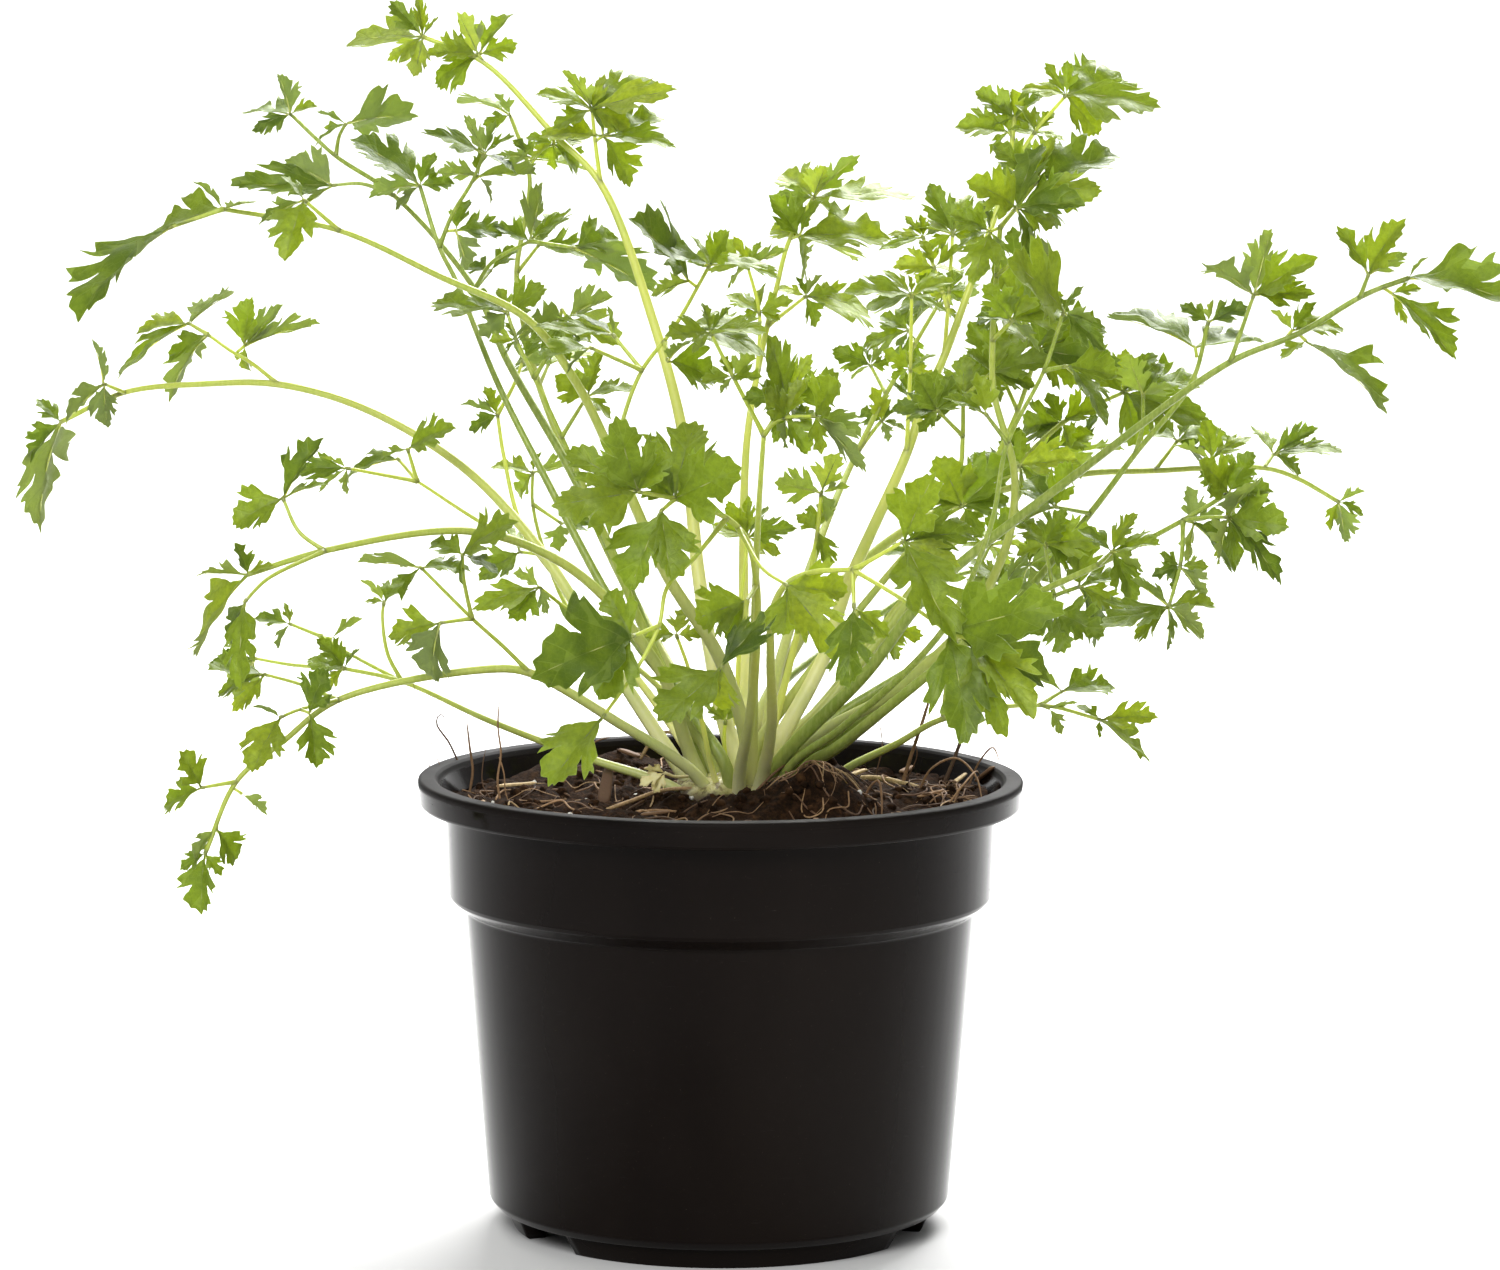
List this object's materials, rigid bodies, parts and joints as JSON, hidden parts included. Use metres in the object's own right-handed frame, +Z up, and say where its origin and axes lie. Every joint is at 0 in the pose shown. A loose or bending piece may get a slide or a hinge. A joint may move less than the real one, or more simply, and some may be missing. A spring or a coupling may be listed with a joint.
{
  "type": "potted parsley",
  "caption": "Bushy flat-leaf parsley plant whose slender branched fronds arch out on all sides from a pale crown, in soil in a round black nursery pot.",
  "frame": {"origin": "on the ground under the middle of the pot", "axes": "+Z up, +X to the right and -Y to the front as the picture shows the plant"},
  "size_m": [0.4636, 0.3516, 0.3845],
  "materials": {
    "pot": "satin black plastic",
    "soil": "loose dark peat with fibres",
    "crown": "waxy, pale yellow-green",
    "dry_stalk": "dry, fibrous",
    "pale_frond": "soft leaf, fresh yellow-green on a pale stalk",
    "frond": "soft leaf, mid green with paler veins",
    "dark_frond": "soft leaf, deep green on a green stalk"
  },
  "bodies": {
    "root": {"crown": "crown", "dry_stub_left": "dry_stalk", "dry_stub_right": "dry_stalk", "frond_back_centre": "pale_frond", "frond_back_left_tall": "frond", "frond_back_right": "frond", "frond_central_tall": "pale_frond", "frond_far_up_left": "dark_frond", "frond_front_arch": "dark_frond", "frond_front_right_arch": "dark_frond", "frond_front_upright": "frond", "frond_inner_left": "frond", "frond_inner_right": "frond", "frond_left_mid_arch": "frond", "frond_left_slim": "frond", "frond_long_left": "frond", "frond_low_left": "frond", "frond_low_left_arch": "frond", "frond_low_right": "frond", "frond_right_bright": "frond", "frond_right_cluster_front": "frond", "frond_right_cluster_low": "frond", "frond_right_flat": "frond", "frond_right_inner": "frond", "frond_right_low_mid": "frond", "frond_right_middle": "frond", "frond_right_reach": "frond", "frond_right_tall": "pale_frond", "frond_right_up": "frond", "frond_thin_right": "frond", "frond_upper_left_arch": "frond", "frond_upper_left_mid": "dark_frond", "frond_young_left": "frond", "frond_young_right": "pale_frond", "pot": "pot", "shoot_left": "frond", "shoot_low": "frond", "shoot_middle": "frond", "soil": "soil"}
  },
  "joints": []
}
